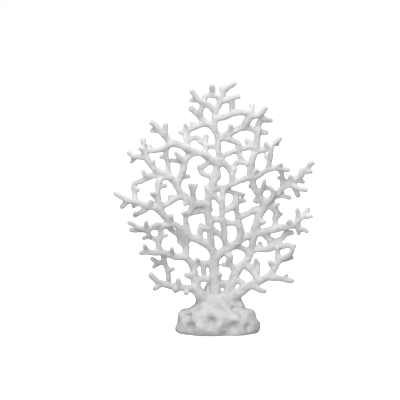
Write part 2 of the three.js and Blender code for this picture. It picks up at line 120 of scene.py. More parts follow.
# The limbs of each piece, root to tip. A lift stands off the fan's sheet, back (+) or front (-).
LIMBS = {
    # The trunk and the crown that grows out of its top.
    "trunk": [
        limb([11.5, 11, 10.6, 8.6, 7.4, 7.2, 6.8, 8.3, 7.6, 5, 5.2, 5.6, 5.2, 6], [0], -1, 39, -1, 50,
             -0.5, 60, -2.2, 70, -2.8, 80, -2, 90, -4, 97, -5.8, 104, -7, 112, -7.5, 128, -9.2, 136,
             -11.2, 145, -11.4, 152, -10, 160, -8, 167, -6, 175, -3.5, 183, -1, 191, 0.8, 198, 3, 207,
             2.3, 216, 1.7, 226, 0.7, 234, -1.2, 241, -2.6, 249, -1.2, 264, 2, 271, 6.5, 283),
        limb([6.8, 5], [0, -4], 6, 281, 8.5, 289, 14, 293.2, 20, 296.8),
        limb([5.4, 4.8], [0, 3], 8, 287, 6.6, 292),
        limb([4.4], [0, -4], -1, 68, 3.5, 68.5),
        limb([4.8, 4.4], [0, 2, 0], -6, 109, -12, 108, -18, 111, -20, 118, -18, 126, -7, 124),
        limb([4.6, 4.2], [2, 5], -18, 122, -18.5, 128.8),
        limb([5, 4.6], [0, 5, 6], 4, 281, -6, 283.5, -13, 282.5, -14.5, 276),
        limb([4.2, 3.8], [2, -3], -4.8, 283, -5, 289, -5.8, 293.7),
        limb([5.2, 5, 4], [0, -2, -6], -1.5, 262, -6.5, 269.6, -14, 274, -20, 276.8, -25.5, 282.5,
             -28.7, 288.4),
        limb([4, 2.8], [-3, 2], -20, 278, -30.3, 277.6),
        limb([5.6, 4.6], [0, 4, 6], -4, 246.5, -12, 250.5, -19.2, 257.5, -24, 262.5, -29.5, 267),
        limb([4.4], [2, -2], -20, 259.5, -18.3, 266, -15.5, 273),
        limb([5.2, 4.8, 4.8], [0, -5], 4, 276.5, 11, 277.5, 17, 279.5, 22, 281.8, 25.3, 281.8),
        limb([4], [-2, 2], 18, 278, 18, 270, 17.8, 263),
        limb([4.5, 4, 5.4], [0, 4], 0, 203, -8, 203.8, -15, 200, -20.5, 197.3),
        limb([4.5, 4, 5.4], [0, 4], -3, 188.5, -10, 188, -16.5, 190.5, -19.5, 195.5),
        limb([4.6], [0, 1], -7, 172, -11.5, 173.5),
        limb([5], [0], 0.8, 196, 1, 186),
    ],
    # The left stem and the low fan it carries.
    "left_stem": [
        limb([6.5, 5.5], [6, 7, 5], -9, 40, -7, 50, -4.5, 61, -2, 66),
        limb([11, 9.2, 7, 6.8, 6.5, 6, 4.8], [2, 0, 0, -2, -4], -17.5, 38, -20.3, 45, -22.2, 50,
             -24.5, 58, -26.2, 68, -27.5, 77, -31.5, 85, -38, 90, -48, 91, -57, 94, -66, 96, -76, 95.7,
             -83, 96.3, -89.8, 95.3),
        limb([6, 3.8], [-2, -6], -81.5, 97, -85.6, 104),
        limb([4.4, 3.8], [0, -3], -27, 67.5, -35.2, 68.5),
        limb([6.5, 6], [0, 3, 0], -37, 90, -36, 100, -36, 108, -37.5, 119),
        limb([4.4, 2.4], [2, 6], -36, 102, -39, 104.5, -46, 110),
        limb([4.4, 3.6], [-1, -6], -53, 92.5, -53, 100.3),
        limb([6, 5.5], [-1, 0], -66, 96, -69, 105, -69, 112.5),
        limb([4.6, 4.2], [0, 4, 5], -63, 95, -62.5, 86, -59.5, 78, -57.6, 70, -56.8, 60),
        limb([4, 3.8], [3, 8], -61.5, 84, -69, 84, -76.2, 88),
        limb([4.6, 3.8], [5, 9], -66.5, 84, -74.3, 78.7),
        limb([4, 3.6], [4, 0], -58.8, 74, -51.8, 75.8),
        limb([5, 4.6], [0, 2, 3], -28, 81, -20, 83, -12, 82.5, -3, 85),
        limb([4.4, 3.6], [1, -3], -22, 83, -22.6, 88),
        limb([4.2], [2, 4, 3], -15.2, 83, -15.2, 73, -12, 64.5, -1, 62),
        limb([4], [0, 2], -25, 63.3, -15, 63.3, -10, 63.5),
    ],
    # The low arm that leaves the foot to the left.
    "left_low_arm": [
        limb([8.5, 7.5, 7, 6.4, 4.8], [-4, -7, -9, -10], -17, 40, -22, 46.5, -28, 51.5, -38, 53,
             -50, 54.2, -60, 57.3, -67.5, 59, -72.8, 63, -78, 69),
        limb([4.8, 3.8], [-9, -12], -66, 58, -73.4, 52),
        limb([5.2, 4], [-7, -11], -45, 54, -45.6, 62.5),
        limb([4.2, 3], [-7, -12], -35, 50.5, -36, 46.8),
        limb([4.4, 3.2], [-8, -9], -48.5, 53, -48.5, 51),
    ],
    # The right stem, up to where the right-hand arms fork.
    "right_stem": [
        limb([10, 10, 9, 7.4, 6.8, 7], [2, 0, 0], 11, 39, 13, 45, 15.5, 52, 19, 61, 22.5, 70,
             28.3, 78.5, 36, 86, 40, 93.5, 41.7, 102, 43.2, 110, 45, 119),
        limb([5, 4.6], [0, 1, 0], 17, 57, 8, 58.2, 1, 58.6),
        limb([5.4, 5.4, 8], [0, -4], 23, 75, 16.5, 82, 15.8, 91),
        limb([4.4, 3.8], [-2, 2], 17, 81.5, 8, 81),
        limb([5.5, 5.5, 7, 6.4, 3.8], [0, -2, -5], 41, 99, 52, 99.8, 61, 100, 68, 102.3, 75, 102.7,
             84, 104.2, 92.5, 103.6),
        limb([5.6, 3.4], [0, 4], 52, 101, 52, 107),
    ],
    # The low arm that leaves the foot to the right.
    "right_low_arm": [
        limb([10.5, 9, 7.8, 7, 6.5, 5.6, 4.6], [-3, -4, -8, -10], 18.5, 39, 24, 44, 29, 48.4, 37, 54.2,
             46, 58.7, 55, 62.7, 62.5, 67.3, 67.8, 73.3, 71, 80.5, 75.2, 86.5, 83, 90.7, 89, 95,
             91, 101),
        limb([4.6, 3.2], [-7, -4], 77, 87, 84, 88, 90, 89.6),
        limb([5.2, 5.6, 4.6], [-6, -9, -14], 63, 66, 73, 65, 83, 63.2, 90, 61.9),
        limb([5.4, 3.4], [-8, -12], 83, 63.5, 84, 68.6),
        limb([5, 4.2], [-6, -11], 70, 77, 64, 84),
        limb([4.6], [-8, -10], 73.5, 87, 73, 95, 73, 101),
        limb([4.2], [-5, -9], 43, 56, 50, 51.5, 57.5, 49),
        limb([5.8], [-5, -2, 1], 50, 60.5, 47.6, 67.5, 41.5, 73.8, 34, 81),
        limb([4.6, 4], [-3, -4, -6], 47, 66, 49, 74, 48.6, 81, 47, 86.6),
        limb([4.4], [0, -3], 38, 77, 43, 79, 50, 82.5),
        limb([4.2], [0, 0, -3], 20, 61.3, 27, 61.5, 32, 58, 36, 52.5),
    ],
    # The middle arm on the left and its open mesh.
    "left_middle_arm": [
        limb([8, 7.6, 5, 5.4, 7.6, 6, 5.5, 5], [0, 0, -2, -5], -4, 98, -11, 105, -20, 110, -29.5, 114.5,
             -36.5, 120.8, -44.5, 126.8, -53, 131.5, -60, 138, -67, 145.7, -73, 150.3, -84, 152.8,
             -96, 157, -107, 159.5, -119, 166.8),
        limb([5, 4.4], [-4, 0], -105, 158, -112.2, 151),
        limb([4.8, 3], [-3, -6], -78.5, 152, -78, 157),
        limb([4.8, 4.4], [-2, 3], -80, 152, -88, 145.2, -96.5, 140.4),
        limb([3.4, 2.8], [1, -2], -94, 142.2, -96.8, 143),
        limb([4, 3], [-3, 1], -96, 156, -98.3, 151.5),
        limb([6, 5.6], [-1, -3, -2], -66.5, 148, -68, 153, -69.4, 160, -69.5, 169, -69.8, 178),
        limb([4.4, 3.4], [-2, -8], -69, 162.5, -73.5, 164.5, -76.8, 167),
        limb([4.2, 3.4], [-2, 2], -69, 175.5, -60.8, 175.8),
        limb([3.8], [-2, 0, 0], -69.3, 178.5, -66.5, 183.5, -62, 185.8, -55, 186.5),
        limb([5, 4.5], [-1, -5], -55, 133, -54, 140.5),
        limb([5.6, 5], [0, 2, 3, 0], -33.5, 116, -35, 127, -36.7, 136, -35, 142, -28, 144, -15, 146.3,
             -7, 147),
        limb([3.8, 3.2], [2, -2], -35.5, 142.5, -40, 143.5),
        limb([5.5, 5], [-1, -2, -3], -54, 131.5, -62, 128.6, -70, 127, -78, 125, -84, 122.6),
        limb([4.6, 4], [-2, -5, -2], -66, 126.5, -71, 130, -75.5, 125.5),
        limb([5, 4.4], [-3, -8], -83, 122.5, -93, 126, -103.5, 131.8),
        limb([4.8, 4], [-3, -1, 2], -83, 122.4, -92, 122.6, -100.8, 122.8),
        limb([4, 3.4], [-3, -7], -83.5, 123, -83.5, 133),
        limb([3.8, 3.8], [0, 7, 7, 2], -60, 128, -54.5, 123.8, -47.5, 118.4, -42, 112.8, -35, 109),
        limb([4.6, 4], [-3, 3], -82, 122, -79.8, 115, -86.4, 113),
        limb([4.6], [1, 4], -80, 115, -71, 111.2),
        limb([5.2, 5], [-2, 0], -66.4, 127, -66.4, 118, -68.5, 106),
        limb([4.6, 3.4], [0, -5], -66.5, 115.5, -59.7, 116.7),
        limb([3.6], [0, 4], -44.3, 126, -43.3, 114),
        limb([5, 5.4], [2, 1], -34, 141, -29.5, 149, -26.5, 156),
    ],
    # The upper arm on the left.
    "left_upper_arm": [
        limb([8, 8, 7, 6.2, 6.2, 6.2, 6, 5.4, 4.8], [0, 2, 0, -3], -10, 154, -20, 155, -28, 156.5,
             -35.5, 161, -42.6, 168.5, -48, 177.5, -53.3, 184.5, -58.5, 189.3, -66, 192.3, -73, 196.5,
             -79, 203, -82.8, 210.5, -85.8, 218, -86.4, 230.4),
        limb([4, 3.2], [-3, -6], -85.5, 219, -90, 219.7),
        limb([5.2, 4.2], [-1, 3], -81.5, 208.5, -92, 210.3, -98, 211, -103, 215),
        limb([4.6, 3.8], [2, 6], -96, 210, -100.2, 204.5),
        limb([5.2, 5], [0, 5, 8, 6], -59, 189.5, -72, 189, -80, 186, -88, 182, -97, 178.5, -98, 172,
             -97, 164, -96, 158),
        limb([4.4, 3.4], [3, 0], -77, 188, -84, 188.5, -87, 193.5),
        limb([3.8, 3.2], [8, 4], -97, 171, -93, 171.3),
        limb([5.8, 5.2, 5.6], [1, -4], -28, 157, -28, 166, -28, 173.5),
        limb([5, 4.2], [-3, -7], -28, 167, -31.4, 177),
        limb([5, 4.2], [-3, -5], -27.8, 167, -24.8, 177),
        limb([4.4, 3.2], [1, -2], -37, 163, -37, 154),
        limb([6, 5.4], [1, 3, 1], -38, 165, -49, 160.5, -55, 156, -62, 153, -70, 150.5),
        limb([4, 3.2], [3, 8], -49, 161, -55.5, 162.8),
        limb([4.4, 3.4], [0, -2], -76, 199.5, -74, 204.8),
    ],
    # The crown arm on the left.
    "left_crown_arm": [
        limb([6.6, 6.6, 7, 7, 6.5, 6, 5.6], [0, 0, -3, -6], 2.5, 200.5, -3.5, 206, -11, 211.5, -20, 215,
             -28, 217, -36, 221, -45, 225, -54, 228.4, -60, 234, -65.5, 241.5, -70.5, 246, -75.6, 250.8),
        limb([4.4, 3.8], [-5, -1], -66, 242.5, -76, 241.5),
        limb([4.8, 4], [-5, -9], -61.5, 237, -59.8, 248.8),
        limb([5.4, 5.8, 4.6], [-4, -1, 2], -52, 227.5, -60, 221.8, -68, 218.9, -77, 218.5, -79.3, 223.6),
        limb([4.8, 4.4], [-2, 1, 2], -59.5, 221, -59.4, 211, -57.6, 202, -56.8, 189),
        limb([4.2, 3.6], [0, 4], -60, 210.5, -65.2, 210),
        limb([6.6, 7, 5.6], [0, 3, 2], -26, 216, -34, 210, -37.8, 204, -39, 197, -41.8, 189, -45.3, 179),
        limb([6, 4], [2, -3], -38.5, 204.5, -44, 210, -47.8, 214.7),
        limb([4.4], [4, 10], -40, 206, -54, 206.3),
        limb([4, 3.4], [3, 6], -41, 187, -32.8, 187.2),
    ],
    # The loops of the crown on the left, from the trunk back down to the crown arm.
    "crown_left_loop": [
        limb([5.4, 5.2, 5], [0, 4, 5, 2], -1, 240, -7, 247.5, -14, 249.6, -22, 247.4, -30, 243.5,
             -34.5, 241, -35.5, 234, -34.7, 227, -36, 219),
        limb([5.4, 3.2], [5, 9], -27.5, 245, -29.2, 250.3),
        limb([4.6, 3], [5, 2], -36, 241, -36.8, 248.5),
        limb([4.2, 3.2], [5, 9], -36, 238.5, -43.6, 239.7),
        limb([4.5, 4.3], [3, 6, 4, 2], -35, 229, -29, 232.5, -23, 232.7, -19, 229, -14, 226, -13, 218,
             -13, 211),
        limb([4.8, 4], [5, 8], -14, 227, -12.2, 234),
        limb([5], [3, 2], -13, 224, -1, 222.5, 3, 222),
    ],
    # The crown's right side: an arch, a ring and the arm above them.
    "crown_right": [
        limb([6, 5.4, 5, 4.6, 5, 3.8], [0, 3, 3], 2, 233, 10, 236, 17, 239, 24, 243, 32, 245, 40, 243.5,
             50, 240.5, 58.3, 239.2),
        limb([4, 3], [2, -3], 16, 239, 16.8, 248),
        limb([4.6, 4.2], [3, 1, 0], 48.3, 241, 49.2, 249, 53.7, 255),
        limb([6, 5.6, 5.6, 6], [0, -2, -3], -1, 256, 6, 257, 13, 259, 20, 262, 29, 263.3, 40, 262.5),
        limb([4.8, 4.2], [-3, 1], 38.5, 262, 41, 266, 41.4, 271.7),
        limb([5.2, 4.8], [-3, -6], 40, 261, 44, 259.5, 50, 260, 54, 263.7, 57.8, 268),
        limb([4.8, 5.4, 4.6], [-4, 0, 3], 49, 259.5, 57, 254.5, 63.8, 253.8),
        limb([6.2, 7], [-3, 0, 3], 40.5, 258.5, 35.6, 252.5, 31.8, 245.5),
    ],
    # The mesh of limbs between the trunk and the right stem.
    "inner_mesh": [
        limb([6, 6], [0, -1, -3], -8, 137, -1, 135.7, 7, 136.5),
        limb([9.4, 8.6, 7, 7], [0, -1, 0], -2, 89, 4, 94, 11, 99.5, 19, 104, 27, 109.5, 35, 114.5,
             45, 119),
        limb([5], [0, 3, 1], 14, 102, 25, 102.6, 32, 100.5, 39.5, 95),
        limb([5.2], [0, -3, -4], 13, 102, 11.3, 106, 9.6, 112, 9.6, 120, 8, 128, 6.5, 136),
        limb([4.6, 4.2], [-2, 2, 0], 11, 107, 6.5, 114.3, 0.5, 120, -7, 125),
        limb([5.2], [-4, -2, -3, -1], 8, 134, 15, 131.8, 22, 131.3, 26.7, 125.5, 28.2, 117, 26, 109),
        limb([5, 4.6], [-4, -3, 0], 7, 134, 6.5, 140, 7.4, 147, 6, 154, 2, 159.5, -4, 165, -9, 168),
        limb([4.6, 4.4], [-3, -4, -2], 7, 150, 7.8, 160, 7.8, 172),
        limb([5.4, 7, 5.6], [-3, -1, 2], 6, 145.5, 12.5, 147.8, 19.3, 151.5, 22.3, 157, 22.8, 162,
             21.5, 166.5),
        limb([4.8, 4.6], [-1, 1, 0], 23, 153, 24.6, 143, 25.6, 135, 28.6, 128, 30.6, 120, 30.6, 112),
        limb([6, 6, 5.6], [0, -2, 0], -6, 172.5, 2, 173.4, 10, 173.6, 17, 177.6, 25, 181, 33, 183.6,
             42, 189),
        limb([4.8, 3.8], [-2, 2, 3], 9, 172, 20, 168, 32, 165.6),
        limb([4.4, 3.6], [1, 5], 24, 156.7, 33.3, 158.2),
        limb([5.2, 6, 6.2], [-2, 1, 0], 17, 177, 18.8, 188, 14.5, 197, 8, 203.5, 2, 208),
        limb([5, 4.8], [1, 2, 0], 18.5, 188, 21.4, 197, 22.2, 202.8, 31, 204, 42, 201.4),
        limb([5.2, 5, 5], [0, 2, 3, 0], 2, 232, 12, 231.8, 19, 229.5, 25.4, 226, 25, 219.6, 18, 216,
             9, 212.6, 2, 207),
        limb([4.6], [3, 1, 0], 24.5, 220, 33, 220.5, 40, 222, 47, 220),
        limb([4.8], [3, 2, 2], 25, 218, 28.8, 209.5, 33.6, 204.4),
    ],
    # The right-hand stem above the fork, up to its top.
    "right_upper_stem": [
        limb([8, 8.2, 7.8, 7.5, 7, 6.6, 6.6, 5.8, 5.3], [0, 0, 0, -1, 0], 44.5, 118, 46, 125, 48, 131,
             49.6, 137.5, 53, 144, 57, 151, 56, 157, 50.4, 164, 46, 171, 43.6, 178, 42, 186, 40, 194,
             41, 202, 43, 210, 46, 219, 47.7, 228, 49, 243),
        limb([4.8, 4], [0, -4], 50, 132, 56, 132.5),
        limb([4, 3.2], [0, 3], 43, 177, 39.8, 175.5),
        limb([4.8, 4], [0, 4], 53, 160, 46, 158.3),
        limb([5.4, 6.2, 6.2, 5.4], [0, 3, 2], 53, 146, 46, 147.8, 38, 143.5, 25, 138),
        limb([6, 5.4, 5.2, 4.6], [0, -3, -6], 42, 184.5, 50, 188.2, 57.5, 193, 66, 196.7, 73, 197.5,
             84, 195),
        limb([5.6, 3.8], [-4, -8], 71, 197.5, 76.3, 202),
        limb([5.2, 4.8], [-2, -5], 60, 196, 63, 206, 64.1, 214, 64.6, 222.5),
        limb([4.6, 3.6], [-3, 0], 62.5, 206, 58, 211.5),
        limb([5.4, 5, 4], [0, 3, 6], 46, 217, 55, 219, 61, 221, 68, 226.3, 74.6, 231.4),
        limb([4, 3.4], [2, -1], 58, 220.5, 58.7, 226.3),
        limb([3.6, 3], [4, 7], 67, 225.6, 72.3, 225.5),
        limb([4.2, 3.4], [0, -3], 41, 190.5, 47.8, 194.8),
        limb([5, 4.4], [0, 3], 46.5, 220, 42, 225.8, 36, 229),
        limb([4.8, 4.4], [0, -4, -5, -3], 50, 166, 55, 171.9, 60.5, 173.8, 66, 171, 67, 164, 61, 157.2),
        limb([5.4, 3.8], [-4, -9], 54.8, 171.5, 56.8, 182.5),
    ],
    # The outer arm on the right.
    "right_outer_arm": [
        limb([7.5, 7, 6.5, 6.5, 6, 5.5, 5], [0, 2, 4, 2], 56, 153, 64, 159, 70, 165, 76, 170, 80, 175,
             86, 179, 93, 184, 100.5, 189.5, 106, 196, 112.6, 203.2),
        limb([4.4, 3.8], [3, 0], 104, 193, 112, 192.8),
        limb([4, 3.4], [4, 7], 100.5, 188, 99.8, 195),
        limb([3.6], [4, 0], 87.7, 180, 87.2, 187),
        limb([4.2, 3.6], [4, 7], 94, 184, 103, 180.7),
        limb([4.6, 4], [4, 0, -2], 86, 178.5, 96, 173.2, 105.7, 171.2),
        limb([4.6, 4.4], [2, 5], 92, 175, 94.6, 168, 96.5, 165),
        limb([4.6], [3, 0, -4], 78.3, 174, 78.3, 184, 77.3, 190, 72, 198.5),
        limb([4.2, 3.4], [1, 4], 78.5, 183, 73.5, 185.7),
        limb([4.8, 4.4], [2, 5], 69, 164.5, 80, 164, 86.5, 161.6),
        limb([4.6, 3.6], [1, -3], 60, 153.5, 68, 151, 74, 154.2),
        limb([7.8, 6, 5.4], [0, 2, 1], 65.5, 151.5, 70.5, 146, 70.4, 138, 69.3, 124),
        limb([4.4, 3.4], [1, 5], 71.5, 141, 76.3, 142),
    ],
    # The middle arm on the right.
    "right_middle_arm": [
        limb([7.5, 7, 7.6, 6.8, 5, 4.4], [0, -2, -4], 45, 119, 55, 120.6, 66, 123.3, 78, 125.8,
             90, 128.8, 95.8, 132.5, 96.6, 140, 96, 147.2),
        limb([4.8, 4.4], [-4, -1], 97, 134, 103.5, 140, 108.2, 147.7),
        limb([4.6, 3.6], [-2, -6], 103, 139.2, 112.2, 138.9),
        limb([4.2, 3.4], [-2, -6], 87.5, 129, 86.8, 134),
        limb([5, 4.6], [-3, 0], 96.8, 131, 96.8, 124, 97.8, 119.6),
        limb([4.6, 5.4, 3.8], [-1, -5], 98, 123, 103.5, 124, 107.6, 121),
        limb([4.8, 5, 5], [0, 1], 47, 120, 54, 119.9, 60.2, 116.2, 63.6, 110, 65.2, 103),
        limb([5.4, 5, 5, 5.6, 4.4], [0, 3, 5], 58, 116, 64, 112, 71.5, 109.5, 78.5, 113.2, 82.5, 119,
             89.6, 119.6),
    ],
}

STEMS = ("trunk", "left_stem", "right_stem", "right_upper_stem")
ARMS = ("left_low_arm", "right_low_arm", "left_middle_arm", "left_upper_arm", "right_middle_arm",
        "right_outer_arm")
CROWN = ("left_crown_arm", "crown_left_loop", "crown_right")
MESHWORK = ("inner_mesh",)
PIECES = ("holdfast",) + tuple(LIMBS)


# ---------------------------------------------------------------- numpy surfaces
def smoothstep(value):
    """3t^2 - 2t^3 of the value held between 0 and 1."""
    t = np.clip(value, 0.0, 1.0)
    return t * t * (3.0 - 2.0 * t)


def fan_points(x, z, lift):
    """Points of the fan: its sheet is a sine along the width plus a sine up the height, fading in
    above the foot, with a forward lean. A lift stands off the sheet, and depth spreads the fan."""
    grown = smoothstep((z - FAN_START) / FAN_FADE)
    wave = (FAN_WAVE * np.sin(x / WAVE_RUN + WAVE_START)
            + FAN_RIPPLE * np.sin(z / RIPPLE_RUN - x / RIPPLE_SLANT))
    y = grown * wave + FAN_LEAN * (z - FAN_START) / FAN_HEIGHT + lift
    return np.stack([x + (x - SPREAD_X) * y / SPREAD_REACH, y,
                     z + (z - SPREAD_Z) * y / SPREAD_REACH], axis=1)


def smooth_path(points, step):
    """Centripetal Catmull-Rom curve through the points, resampled every step along its length:
    each span blends its four nearest points by knots spaced as the root of their distance."""
    ends = np.vstack([2 * points[0] - points[1], points, 2 * points[-1] - points[-2]])
    knots = np.concatenate([[0.0], np.cumsum(np.linalg.norm(np.diff(ends, axis=0), axis=1) ** 0.5)])
    t = np.linspace(knots[1], knots[-2], ROUTE_SAMPLES * len(points))
    span = np.clip(np.searchsorted(knots, t, side="right") - 1, 1, len(points) - 1)
    p0, p1, p2, p3 = (ends[span - 1 + k] for k in range(4))
    t0, t1, t2, t3 = (knots[span - 1 + k][:, None] for k in range(4))
    t = t[:, None]
    a1 = ((t1 - t) * p0 + (t - t0) * p1) / (t1 - t0)
    a2 = ((t2 - t) * p1 + (t - t1) * p2) / (t2 - t1)
    a3 = ((t3 - t) * p2 + (t - t2) * p3) / (t3 - t2)
    b1 = ((t2 - t) * a1 + (t - t0) * a2) / (t2 - t0)
    b2 = ((t3 - t) * a2 + (t - t1) * a3) / (t3 - t1)
    curve = ((t2 - t) * b1 + (t - t1) * b2) / (t2 - t1)
    run = np.concatenate([[0.0], np.cumsum(np.linalg.norm(np.diff(curve, axis=0), axis=1))])
    stops = np.linspace(0.0, run[-1], max(5, int(round(run[-1] / step))) + 1)
    return np.stack([np.interp(stops, run, curve[:, k]) for k in range(3)], axis=1), stops


def limb_path(diameters, lifts, route, skin, step):
    """The limb's path and its radius along it, straight between the evenly spaced diameters."""
    x, z = np.array(route[0::2], float), np.array(route[1::2], float)
    place = np.linspace(0.0, 1.0, len(x))
    lift = np.interp(place, np.linspace(0, 1, len(lifts)), lifts)
    path, stops = smooth_path(fan_points(x, z, lift), step)
    radius = np.interp(stops / stops[-1], np.linspace(0, 1, len(diameters)), diameters) / 2
    return path, radius + skin / 2, stops


def squared(cos, sin, power):
    """The factor s that makes a circle a squared round: |s cos|^n + |s sin|^n = 1."""
    return (np.abs(cos) ** power + np.abs(sin) ** power) ** (-1 / power)


def limb_tube(path, radius, sides):
    """A squared round profile carried along the path and closed by half balls: each ring is
    path + r s (side cos a + up sin a) with |s cos a|^n + |s sin a|^n = 1, and the end rings shrink
    as the cosine of an angle while they move out by its sine. Returns points and faces, the last
    rings closed to a pole."""
    ahead = np.gradient(path, axis=0)
    ahead /= np.linalg.norm(ahead, axis=1)[:, None]
    side = np.cross((0.0, 1.0, 0.0), ahead)
    side /= np.linalg.norm(side, axis=1)[:, None]
    up = np.cross(ahead, side)
    turn = np.radians([20, 40, 60, 78])
    shrink = np.concatenate([np.cos(turn)[::-1], np.ones(len(path)), np.cos(turn)])
    reach = np.concatenate([-np.sin(turn)[::-1], np.zeros(len(path)), np.sin(turn)])
    row = np.pad(np.arange(len(path)), len(turn), mode="edge")
    around = np.linspace(0, 2 * np.pi, sides, endpoint=False)
    cos, sin = np.cos(around), np.sin(around)
    square = squared(cos, sin, LIMB_SQUARENESS)
    size = (radius[row] * shrink)[:, None, None]
    rings = (path[row] + ahead[row] * (radius[row] * reach)[:, None])[:, None, :] + size * (
        side[row][:, None, :] * (cos * square)[None, :, None]
        + up[row][:, None, :] * (sin * square)[None, :, None])
    poles = np.stack([path[0] - ahead[0] * radius[0], path[-1] + ahead[-1] * radius[-1]])
    return closed_rings(rings, poles)


def closed_rings(rings, poles):
    """Points, and faces as rows of four corners, of stacked rings closed by a fan to each pole.
    A fan's triangle repeats its pole as the fourth corner."""
    count, sides = rings.shape[:2]
    points = np.vstack([rings.reshape(-1, 3), poles])
    k = np.arange(sides)
    nxt = (k + 1) % sides
    i = np.arange(count - 1)[:, None] * sides
    walls = np.stack([i + k, i + nxt, i + sides + nxt, i + sides + k], axis=-1).reshape(-1, 4)
    low, high, last = count * sides, count * sides + 1, (count - 1) * sides
    lows = np.stack([nxt, k, np.full(sides, low), np.full(sides, low)], axis=1)
    highs = np.stack([last + k, last + nxt, np.full(sides, high), np.full(sides, high)], axis=1)
    return points, np.vstack([walls, lows, highs])


def foot_ring(z):
    """Middle, half width and half depth of the foot at each height."""
    left, right, deep = (np.interp(z, FOOT_RINGS[:, 0], FOOT_RINGS[:, k]) for k in (1, 2, 3))
    return (left + right) / 2, (right - left) / 2, deep


def foot_surface():
    """The foot on a grid of angle and height: a squared oval ring at each height,
    |cos|^n + |sin|^n = 1 scaled by the half width and depth, pushed along its outward direction by
    the sum of the lumps, each A exp(-d^2 / w^2) of its distance d."""
    z = np.linspace(FOOT_RINGS[0, 0], NECK_TOP, FOOT_COUNT[0])[:, None]
    turn = np.linspace(0, 2 * np.pi, FOOT_COUNT[1], endpoint=False)[None, :]
    middle, wide, deep = foot_ring(z)
    cos, sin = np.cos(turn), np.sin(turn)
    square = squared(cos, sin, FOOT_SQUARENESS)
    x, y = middle + wide * cos * square, deep * sin * square
    z = z + 0 * turn
    out = np.zeros_like(x)
    for lx, ly, lz, height, width in FOOT_LUMPS:
        out += height * np.exp(-((x - lx) ** 2 + (y - ly) ** 2 + (z - lz) ** 2) / width ** 2)
    away = np.stack([cos / wide, sin / deep], axis=-1)
    away /= np.linalg.norm(away, axis=-1, keepdims=True)
    rings = np.stack([x + away[..., 0] * out, y + away[..., 1] * out, z], axis=-1)
    poles = np.array([(1.0, 0.0, FOOT_RINGS[0, 0]), (3.0, 0.0, NECK_TOP + 1.0)])
    return closed_rings(rings, poles)


def inside_foot(points, margin):
    """True where a point lies within the foot's own rings, widened by the margin."""
    middle, wide, deep = foot_ring(np.clip(points[:, 2], 0, NECK_TOP))
    across = np.abs((points[:, 0] - middle) / (wide + margin)) ** FOOT_SQUARENESS
    through = np.abs(points[:, 1] / (deep + margin)) ** FOOT_SQUARENESS
    return (across + through < 1.0) & (points[:, 2] < NECK_TOP + NECK_SLACK)


def lattice_noise(points, cell, seed):
    """Smooth noise from -1 to 1: a random value at every corner of a lattice of that cell size,
    blended inside the cell by the smoothstep of the place in it."""
    table = np.random.default_rng(seed).uniform(-1, 1, (64, 64, 64)).astype(np.float32)
    place = points / cell + 1000.0
    base = np.floor(place).astype(np.int64)
    part = smoothstep(place - base)
    total = np.zeros(len(points))
    for corner in np.ndindex(2, 2, 2):
        weight = np.prod(np.where(np.array(corner) == 1, part, 1.0 - part), axis=1)
        spot = (base + np.array(corner)) % 64
        total += weight * table[spot[:, 0], spot[:, 1], spot[:, 2]]
    return total


def point_normals(points, quads):
    """Outward direction at each point: the sum of its faces' crossed diagonals, made unit."""
    face = np.cross(points[quads[:, 2]] - points[quads[:, 0]], points[quads[:, 3]] - points[quads[:, 1]])
    total = np.stack([
        np.bincount(quads.ravel(), np.repeat(face[:, k], 4), len(points)) for k in range(3)], axis=1)
    return total / np.maximum(np.linalg.norm(total, axis=1), 1e-12)[:, None]


def quad_edges(quads):
    """Each edge once, as its two corners, with the face on either side of it."""
    a, b = quads.ravel(), np.roll(quads, -1, axis=1).ravel()
    face = np.repeat(np.arange(len(quads)), 4)
    key = np.minimum(a, b) * (quads.max() + 1) + np.maximum(a, b)
    order = np.argsort(key, kind="stable")
    pairs = order.reshape(-1, 2)
    return np.stack([a[pairs[:, 0]], b[pairs[:, 0]]], axis=1), face[pairs]


def relaxed(points, edges, rounds, share):
    """Each round moves every point a share of the way to the middle of its neighbours."""
    a, b = edges[:, 0], edges[:, 1]
    count = np.bincount(edges.ravel(), minlength=len(points))[:, None]
    for _ in range(rounds):
        total = np.stack([
            np.bincount(a, points[b, k], len(points)) + np.bincount(b, points[a, k], len(points))
            for k in range(3)], axis=1)
        points = points + share * (total / count - points)
    return points


# ---------------------------------------------------------------- meshes
def new_mesh(name, points, faces):
    """A mesh from points in millimetres and rows of four corners."""
    mesh = bpy.data.meshes.new(name)
    mesh.from_pydata((points * MM).tolist(), [], faces)
    mesh.update()
    return mesh


def add_object(name, mesh):
    made = bpy.data.objects.new(name, mesh)
    bpy.context.scene.collection.objects.link(made)
    return made


def remeshed(name, points, quads, voxel):
    """One skin round closed bodies that run into each other, as points in millimetres and quads."""
    triangle = quads[:, 2] == quads[:, 3]
    faces = quads[~triangle].tolist() + quads[triangle][:, :3].tolist()
    body = add_object(name, new_mesh(name, points, faces))
    remesh = body.modifiers.new("fuse", "REMESH")
    remesh.mode, remesh.voxel_size = "VOXEL", voxel * MM
    mesh = body.evaluated_get(bpy.context.evaluated_depsgraph_get()).to_mesh()
    skin = np.empty(len(mesh.vertices) * 3, np.float32)
    mesh.vertices.foreach_get("co", skin)
    corners = np.empty(len(mesh.loops), np.int32)
    mesh.loops.foreach_get("vertex_index", corners)
    if len(corners) != 4 * len(mesh.polygons):
        raise RuntimeError("the fused skin has faces that are not quads")
    source = body.data
    bpy.data.objects.remove(body)
    bpy.data.meshes.remove(source)
    return skin.reshape(-1, 3).astype(float) / MM, corners.reshape(-1, 4).astype(np.int64)


